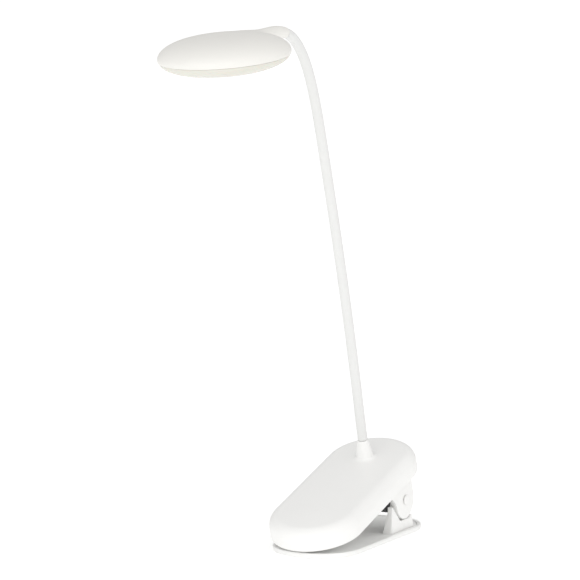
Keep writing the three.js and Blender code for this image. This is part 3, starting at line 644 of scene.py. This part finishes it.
# The collar's rings, as a radius, a height and how far each is draped on the crowned top: the outer ones lie
# on the top, and the inner ones stand up as a cone.
flare_reach = 9.6 * mm
flare_height = 1.9 * mm
flare_steps = 12
cone_steps = 8
collar_sides = 64
collar_rings = []
for i in range(flare_steps + 1):
    share = i / flare_steps
    radius = flare_reach + (collar_base - flare_reach) * math.sin(share * math.pi / 2)
    lifted = -0.06 * mm + flare_height * (1 - math.cos(share * math.pi / 2))
    collar_rings.append((radius, lifted, 1 - share))
for i in range(1, cone_steps + 1):
    share = i / cone_steps
    lifted = flare_height + (collar_height - 0.4 * mm - flare_height) * share
    collar_rings.append((collar_base + (collar_mouth - collar_base) * share, lifted, 0))
collar_rings += [(collar_mouth - 0.12 * mm, collar_height - 0.1 * mm, 0),
                 (collar_mouth - 0.45 * mm, collar_height, 0)]
to_jaw = jaw_place.inverted() @ collar_place
from_jaw = collar_place.inverted() @ jaw_place
collar_points = []
for radius, lifted, draped in collar_rings:
    for x, y in arc(0, 0, radius, 0, 2 * math.pi, collar_sides)[:-1]:
        below = to_jaw @ Vector((x, y, 0))
        top = (from_jaw @ Vector((below.x, below.y, shell_top(below.x, below.y)))).z
        collar_points.append(collar_place @ Vector((x, y, lifted + top * draped)))
under = len(collar_points)
top_ring = (len(collar_rings) - 1) * collar_sides
collar_points += [collar_place @ Vector((0, 0, -1.2 * mm)), collar_place @ Vector((0, 0, collar_height))]
collar_faces = ring_faces(len(collar_rings), collar_sides)
collar_faces += [(under, (k + 1) % collar_sides, k) for k in range(collar_sides)]
collar_faces += [(under + 1, top_ring + k, top_ring + (k + 1) % collar_sides) for k in range(collar_sides)]
collar = outward(made("collar", collar_points, collar_faces))
rear_screw_y = shell_length - 13 * mm
screw_places = [(26 * mm, 46 * mm), (-26 * mm, 46 * mm), (15 * mm, rear_screw_y), (-15 * mm, rear_screw_y)]
cover_thickness = 2.2 * mm


def post(name, radius, low, high, x, y, place, sides=28):
    """A round bar that stands on the place's own x and y, from one height to another."""
    return prism(name, arc(x, y, radius, 0, 2 * math.pi, sides)[:-1], low, high, place)


bosses = [post("boss", boss_radius, cover_thickness + clearance,
               shell_top(abs(x) + boss_radius, y) - shell_wall * 0.7, x, y, jaw_place)
          for x, y in screw_places]
joined(upper_shell, collar, *bosses)
pilots = [post("pilot", pilot_radius, -1 * mm, pilot_top, x, y, jaw_place, 20) for x, y in screw_places]
neck_hole = post("neck_hole", sleeve_bore, -shell_height, collar_height + 1 * mm, 0, 0, collar_place, 32)
ferrule_bore = post("ferrule_bore", ferrule_bore_radius, -shell_height, collar_height - 6 * mm, 0, 0,
                    collar_place, 32)
slot_view = (jaw_place @ Matrix.Translation((0, shell_length, slot_height))
             @ Matrix.Rotation(math.pi / 2, 4, "X"))
socket_mouth = prism("socket_mouth", rounded_outline(4 * mm, 9.7 * mm, 1.6 * mm, 8), -slot_depth, slot_depth,
                     slot_view)
carved(upper_shell, *pilots, neck_hole, ferrule_bore, socket_mouth)
dressed(upper_shell, white_abs, "upper_jaw", ["upper_shell"])

# ---- jaw cover and hinge ears ----
# The white ABS plate that closes the shell from below, held by four screws, with a round ear on each side for
# the hinge pin. Each ear spreads forward as it meets the plate.
cover_inset = shell_wall + clearance
cover_edge = 0.3 * mm
cover_outline = [(x, y + cover_inset) for x, y, _ in
                 stadium_ring(shell_length - 2 * cover_inset, shell_width - 2 * cover_inset, 0, 0)]
jaw_cover = prism("jaw_cover_moulding", cover_outline, 0, cover_thickness, jaw_place)
softened(jaw_cover, cover_edge, 2)
ear_view = jaw_place @ side_view
ear_flare = 11.7 * mm
ear_root = 0.5 * mm
ear_edge = 0.8 * mm


def ear_outline():
    """From the side, in the jaw's frame: straight down at the back, round the pin, and flaring forward."""
    y = hinge_along
    z = -hinge_drop
    start = Vector((y - ear_radius - ear_flare, ear_root))
    pull = Vector((y - ear_radius - 1.5 * mm, z * 0.45))
    end = Vector((y - ear_radius, z))
    flare = [tuple((1 - t) ** 2 * start + 2 * t * (1 - t) * pull + t * t * end)
             for t in (i / 16 for i in range(16))]
    return [(y + ear_radius, ear_root), *flare, *arc(y, z, ear_radius, math.pi, 2 * math.pi, 48)]


for side in (-1, 1):
    ear = prism("ear", ear_outline(), *span(side, ear_inner, ear_outer), ear_view)
    joined(jaw_cover, softened(ear, ear_edge, 4, 50))
ear_axis = jaw_place @ Matrix.Translation((0, hinge_along, -hinge_drop))
carved(jaw_cover, rod("bore", pin_radius + clearance, -ear_outer - 1 * mm, ear_outer + 1 * mm, ear_axis, 48))
sinks = [post("sink", 2.2 * mm, -1 * mm, 1.3 * mm, x, y, jaw_place) for x, y in screw_places]
holes = [post("hole", pilot_radius, -1 * mm, cover_thickness + 1 * mm, x, y, jaw_place, 20)
         for x, y in screw_places]
carved(jaw_cover, *sinks, *holes)
dressed(jaw_cover, white_abs, "upper_jaw", ["jaw_cover"])

# ---- upper jaw pad ----
# A grey soft pad glued under the cover near the jaw tips, with a rolled edge.
upper_pad_thickness = 2.4 * mm
upper_pad_length = 60 * mm
upper_pad_width = 43 * mm
upper_pad_corner = upper_pad_width / 2 - 1 * mm
upper_pad_from_nose = 5.5 * mm
pad_spot = jaw_place @ Matrix.Translation((0, upper_pad_length / 2 + upper_pad_from_nose, 0))
upper_pad = prism("upper_pad_mat", rounded_outline(upper_pad_length, upper_pad_width, upper_pad_corner, 20),
                  -clearance - upper_pad_thickness, -clearance, pad_spot)
softened(upper_pad, 0.7 * mm, 4)
dressed(upper_pad, grey_tpe, "upper_jaw", ["upper_jaw_pad"])

# ---- neck ----
# A flexible steel core in one soft white silicone sleeve, pushed into the collar and bent forward at the top.
# Each stretch of sleeve crosses one flexing point.
# The leans are degrees forward from upright.
neck_radius = 3.6 * mm
neck_length = 326.3 * mm
neck_middle = 185.6 * mm
lean_base = 13.4
lean_middle = 18.1
lean_head = 80.9
bend_power = 4.16
collar_ease = 25 * mm
head_tilt = math.radians(9.15)
tail_length = 83.9 * mm
tail_bend = 20 * mm
sleeve_edge = 0.3 * mm
neck_mouth = collar_place @ Vector((0, 0, collar_height))


def lean_at(along):
    """How far forward the neck, or the head's tail beyond it, leans at a distance from the collar's mouth."""
    if along > neck_length:
        end = math.radians(lean_head)
        return end + (math.pi / 2 + head_tilt - end) * min((along - neck_length) / tail_bend, 1)
    straightening = (1 - min(max(along / collar_ease, 0), 1)) ** 2
    early = min(max(along / neck_middle, 0), 1)
    late = max(0, (along - neck_middle) / (neck_length - neck_middle))
    return math.radians(lean_base + (collar_degrees - lean_base) * straightening
                        + (lean_middle - lean_base) * early + (lean_head - lean_middle) * late ** bend_power)


# The neck's middle line, walked in short steps from inside the shell to the middle of the head.
path_start = -40 * mm
path_step = 0.5 * mm
path = []
walk_y = neck_mouth.y - path_start * math.sin(collar_lean)
walk_z = neck_mouth.z + path_start * math.cos(collar_lean)
while path_start + len(path) * path_step <= neck_length + tail_length + 1 * mm:
    path.append((walk_y, walk_z))
    step_lean = lean_at(path_start + (len(path) - 0.5) * path_step)
    walk_y -= math.sin(step_lean) * path_step
    walk_z += math.cos(step_lean) * path_step


def neck_point(along):
    """The point on the neck's middle line at a distance from the collar's mouth."""
    place = (along - path_start) / path_step
    i = min(int(place), len(path) - 2)
    share = place - i
    return Vector((0, path[i][0] + (path[i + 1][0] - path[i][0]) * share,
                   path[i][1] + (path[i + 1][1] - path[i][1]) * share))


silicone = Finish("white_silicone", (0.755, 0.757, 0.745), 0.55, drift=0.015, drift_size=14 * mm,
                  grain=0.02 * mm, grain_size=0.4 * mm, Sheen_Weight=0.08)
bend_names = [j["name"] for j in frame["joints"] if j["name"] != "clip_hinge"]


def along_of(point):
    """The distance along the neck at which it passes a point."""
    places = [(abs(p[0] - point[1]) + abs(p[1] - point[2]), i) for i, p in enumerate(path)]
    return path_start + min(places)[1] * path_step


bends = [along_of(next(j for j in frame["joints"] if j["name"] == name)["pos_m"]) for name in bend_names]
ends = [clearance] + [(a + b) / 2 for a, b in zip(bends, bends[1:])] + [neck_length - clearance]
neck_steps = 26
neck_sides = 32


def sleeve(name, start, end, ends_rounded=(False, False)):
    """A stretch of hollow sleeve between two places along the neck."""
    outer = [(start + (end - start) * i / neck_steps, neck_radius) for i in range(neck_steps + 1)]
    if ends_rounded[0]:
        outer[0] = (start, neck_radius - sleeve_edge)
        outer.insert(1, (start + sleeve_edge, neck_radius))
    if ends_rounded[1]:
        outer[-1] = (end, neck_radius - sleeve_edge)
        outer.insert(-1, (end - sleeve_edge, neck_radius))
    inner = [(a, sleeve_bore) for a, _ in reversed(outer)]
    points = []
    for a, radius in outer + inner:
        middle = neck_point(a)
        lean = lean_at(a)
        for k in range(neck_sides):
            turn = 2 * math.pi * k / neck_sides
            points.append(middle + Vector((radius * math.cos(turn), radius * math.sin(turn) * math.cos(lean),
                                           radius * math.sin(turn) * math.sin(lean))))
    return outward(made(name, points, ring_faces(len(outer) + len(inner), neck_sides, around=True)))


for i, at in enumerate(bends):
    start = ends[i]
    end = ends[i + 1]
    last = i == len(bends) - 1
    stretch = sleeve(f"neck_skin_{i + 1}", start, end, (i == 0, last))
    nodes = [f"neck_sleeve_{i + 1}"] + ([f"neck_sleeve_{i + 2}"] if last else [])
    dressed(stretch, silicone, stands_for=nodes, crease=50)
    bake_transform(stretch)

# ---- head shell ----
# The warm white ABS lid of the head, drawn out at the back into a tail that takes the end of the neck. Lid
# and tail are one moulding, with a wide soft sweep between them and bosses for the board screws inside.
head_radius = 43.9 * mm
head_dome = 12.7 * mm
head_wall = 1.6 * mm
lid_power = 0.75
diffuser_depth = 11.2 * mm
dish_power = 0.6
seam_drop = 1.7 * mm
seam_radius = head_radius * math.cos(math.asin(seam_drop / diffuser_depth)) ** dish_power
tail_rise = 2.3 * mm
tail_seam = 3.9 * mm
tail_root = 6.4 * mm
sweep = 5 * mm
tail_overlap = 16 * mm
head_at = neck_point(neck_length + tail_length)
head_place = (Matrix.Translation(head_at) @ Matrix.Rotation(head_tilt, 4, "X")
              @ Matrix.Translation((0, 0, -tail_rise)))


def revolved(name, profile, place, sides=96):
    """A profile of radius and height pairs, turned about the place's own z from axis to axis."""
    points = []
    for radius, height in profile:
        for k in range(sides):
            turn = 2 * math.pi * k / sides
            points.append(place @ Vector((radius * math.cos(turn), radius * math.sin(turn), height)))
    return outward(made(name, points, ring_faces(len(profile), sides)))


def lens_curve(radius, depth, power, steps):
    """A lens's profile from its rim to its axis."""
    turns = [math.pi / 2 * i / steps for i in range(steps + 1)]
    return [(radius * max(0, math.cos(t)) ** power, depth * math.sin(t)) for t in turns]


tail_run = tail_length - head_radius + tail_overlap
tail_steps = 30


def tail_radius(share):
    """The tail's radius at a share of the way from the neck to the lid."""
    return tail_seam + (tail_root - tail_seam) * share * share * (3 - 2 * share)


tail_line = [neck_point(neck_length + tail_run * i / tail_steps) for i in range(tail_steps + 1)]
tail_sizes = [tail_radius(i / tail_steps) for i in range(tail_steps + 1)]
tail = tube("tail", tail_line, tail_sizes, 32)
lens_under = [(r, -z) for r, z in reversed(lens_curve(head_radius, diffuser_depth, dish_power, 24))]
lens_over = lens_curve(head_radius, head_dome, lid_power, 24)
lens = revolved("head_lid_moulding", [*lens_under, *lens_over[1:]], head_place)
joined(lens, tail)
blocks = lens.modifiers.new("skin", "REMESH")
blocks.mode = "VOXEL"
blocks.voxel_size = 0.9 * mm
settled(lens)


def lens_depth(points):
    """How far each point lies outside the lens, roughly."""
    flat = np.hypot(points[:, 0], points[:, 1]) / head_radius
    above = points[:, 2] > 0
    tall = np.abs(points[:, 2]) / np.where(above, head_dome, diffuser_depth)
    level = np.clip(flat, 1e-6, None) ** np.where(above, 2 / lid_power, 2 / dish_power) + tall ** 2
    return (level ** 0.5 - 1) * head_dome * np.clip(1.25 - 0.25 * flat, 0.6, None)


def tail_depth(points, line, sizes):
    """How far each point lies outside the tail."""
    start = line[:-1][None]
    run = (line[1:] - line[:-1])[None]
    along = np.clip(((points[:, None] - start) * run).sum(2) / (run ** 2).sum(2), 0, 1)
    gap = np.linalg.norm(points[:, None] - start - along[..., None] * run, axis=2)
    size = sizes[:-1] + along * (sizes[1:] - sizes[:-1])
    return (gap - size).min(axis=1)


def swept_together(thing, place, line, sizes, softness):
    """Moves the skin on to the smooth sum of the lens and the tail."""
    inverse = np.array(place.inverted())
    forward = np.array(place)
    points = np.array([v.co for v in thing.data.vertices])
    local = points @ inverse[:3, :3].T + inverse[:3, 3]
    local_line = np.array([tuple(p) for p in line]) @ inverse[:3, :3].T + inverse[:3, 3]
    sizes = np.array(sizes)

    def level(p):
        a = lens_depth(p)
        b = tail_depth(p, local_line, sizes)
        share = np.clip(0.5 + 0.5 * (b - a) / softness, 0, 1)
        return b * (1 - share) + a * share - softness * share * (1 - share)

    near_neck = local[:, 1] > local_line[0, 1] - 1.2 * mm
    probe = 0.05 * mm
    longest_move = 0.6 * mm
    for _ in range(12):
        value = level(local)
        slope = np.stack([(level(local + probe * axis) - value) / probe for axis in np.eye(3)], axis=1)
        move = -value[:, None] * slope / np.clip((slope ** 2).sum(1), 0.05, None)[:, None]
        move[near_neck] = 0
        local += np.clip(move, -longest_move, longest_move)
    points = local @ forward[:3, :3].T + forward[:3, 3]
    thing.data.vertices.foreach_set("co", points.ravel())
    thing.data.update()


swept_together(lens, head_place, tail_line, tail_sizes, sweep)
cavity_radius = seam_radius - head_wall
cavity = revolved("cavity", [(0, -5 * mm), (cavity_radius, -5 * mm),
                             *lens_curve(cavity_radius, head_dome - head_wall, lid_power, 16)], head_place)
below_seam = revolved("below_seam", [(0, -30 * mm), (seam_radius + clearance, -30 * mm),
                                     (seam_radius + clearance, -seam_drop), (0, -seam_drop)], head_place)
carved(lens, cavity, below_seam)


def neck_bore(name, start, step, count, radius, sides):
    """A tool that follows the neck's line, from a distance past the sleeve's end."""
    return tube(name, [neck_point(neck_length + start + i * step) for i in range(count)], radius, sides)


core_hole = neck_bore("core_hole", -1 * mm, 3 * mm, 4, sleeve_bore, 24)
ferrule_room = neck_bore("ferrule_room", 7.7 * mm, 2.12 * mm, 6, ferrule_bore_radius, 24)
wire_hole = neck_bore("wire_hole", 17 * mm, 5 * mm, 8, 1.9 * mm, 20)
board_top = -0.6 * mm
board_low = board_top - 1.2 * mm
head_boss_radius = 2.6 * mm
screw_circle = 26 * mm
head_screws = [(screw_circle * math.cos(t), -screw_circle * math.sin(t)) for t in
               (i / 3 * 2 * math.pi + math.pi / 2 for i in range(3))]
head_bosses = [post("boss", head_boss_radius, board_top + clearance, head_dome - head_wall * 1.4, x, y,
                    head_place) for x, y in head_screws]
joined(lens, *head_bosses)
head_pilots = [post("pilot", pilot_radius, board_low, board_low + pilot_top, x, y, head_place, 20)
               for x, y in head_screws]
carved(lens, core_hole, ferrule_room, wire_hole, *head_pilots)
warm_abs = Finish("warm_white_abs", (0.81, 0.797, 0.76), 0.45, drift=0.012, grain=0.012 * mm,
                  grain_size=0.35 * mm, IOR=1.5)
dressed(lens, warm_abs, "head", ["head_shell"])

# ---- diffuser ----
# A milky cream polycarbonate dish, moulded in one piece, that snaps up into the lid, closes the head from
# below and spreads the light of the LEDs.
milky = Finish("milky_diffuser", (0.70, 0.686, 0.618), 0.36, drift=0.008, drift_size=20 * mm,
               grain=0.006 * mm, grain_size=0.3 * mm, Subsurface_Weight=0.08, Subsurface_Scale=2 * mm)
dish_wall = 1.5 * mm
dish_inset = 0.2 * mm
seam_gap = 0.14 * mm


def dish_curve(radius, depth, steps):
    """The dish's profile from the seam down to the axis."""
    start = math.asin((seam_drop + seam_gap) / depth)
    turns = [start + (math.pi / 2 - start) * i / steps for i in range(steps + 1)]
    return [(radius * max(0, math.cos(t)) ** dish_power, -depth * math.sin(t)) for t in turns]


dish_radius = head_radius - dish_inset
dish_outer = dish_curve(dish_radius, diffuser_depth, 26)
dish_inner = dish_curve(dish_radius - dish_wall, diffuser_depth - dish_wall, 18)
edge_radius, edge_height = dish_outer[0]
dish_lip = [dish_inner[0], (edge_radius - 0.35 * mm, edge_height),
            (edge_radius - 0.08 * mm, edge_height - 0.1 * mm)]
dish = revolved("diffuser_dish", [*dish_lip, *dish_outer[1:], *reversed(dish_inner)], head_place, 128)
dressed(dish, milky, "head", ["diffuser"])

# ---- screws, ferrules, nut, boards, cell and LEDs ----
# The bought-in and turned parts inside the clip and the head. They keep their own solids, and each takes the
# finish of the real thing: plated steel, brass, lacquered board, foil, epoxy or phosphor.
plated_steel = Finish("plated_steel", (0.58, 0.585, 0.59), 0.28, drift=0.05, drift_size=4 * mm,
                      grain=0.01 * mm, grain_size=0.3 * mm, stretch=(0.15, 1, 1), worn_edge=0.6, Metallic=1.0)
brass = Finish("turned_brass", (0.66, 0.47, 0.2), 0.3, drift=0.06, drift_size=4 * mm, grain=0.01 * mm,
               grain_size=0.2 * mm, stretch=(1, 1, 6), worn_edge=0.4, Metallic=1.0)
green_board = Finish("green_board", (0.03, 0.16, 0.07), 0.35, drift=0.1, drift_size=6 * mm, grain=0.01 * mm)
tracks = green_board.node("ShaderNodeTexBrick")
tracks.inputs["Scale"].default_value = 1 / (6 * mm)
tracks.inputs["Mortar Size"].default_value = 0.05
green_board.link(green_board.where, tracks.inputs["Vector"])
green_board.link(green_board.mixed(tracks.outputs["Fac"], green_board.colour, [0.07, 0.28, 0.13]),
                 green_board.shader.inputs["Base Color"])
green_board.lift(tracks.outputs["Fac"], 0.03 * mm)
white_board = Finish("white_board", (0.82, 0.82, 0.8), 0.4, drift=0.02, drift_size=8 * mm, grain=0.01 * mm)
black_epoxy = Finish("black_epoxy", (0.02, 0.02, 0.022), 0.5, drift=0.2, drift_size=2 * mm, grain=0.02 * mm)
pouch_foil = Finish("pouch_foil", (0.6, 0.62, 0.64), 0.34, drift=0.06, drift_size=9 * mm, grain=0.02 * mm,
                    grain_size=0.8 * mm, Metallic=0.85)
pouch_foil.lift(pouch_foil.noise(1 / (7 * mm), 2), 0.5 * mm)
phosphor = Finish("yellow_phosphor", (0.8, 0.6, 0.14), 0.4, drift=0.08, drift_size=1 * mm, grain=0.02 * mm)
kept = {
    "steel": (plated_steel, ["charging_socket", "base_ferrule"]
              + [f"cover_screw_{i + 1}" for i in range(4)] + [f"head_screw_{i + 1}" for i in range(3)]
              + [f"neck_core_{i + 1}" for i in range(9)]),
    "brass": (brass, ["touch_spring", "base_nut", "head_ferrule"]),
    "board_green": (green_board, ["control_board", "charging_board"]),
    "board_white": (white_board, ["led_board"]),
    "chip_black": (black_epoxy, ["driver_chip"]),
    "cell_silver": (pouch_foil, ["battery_cell"]),
    "led_yellow": (phosphor, [f"led_{i + 1}" for i in range(6)]),
}
for slot, (finish, names) in kept.items():
    for name in names:
        node = frame["nodes"][name]
        node.data.materials.clear()
        node.data.materials.append(finish.material)
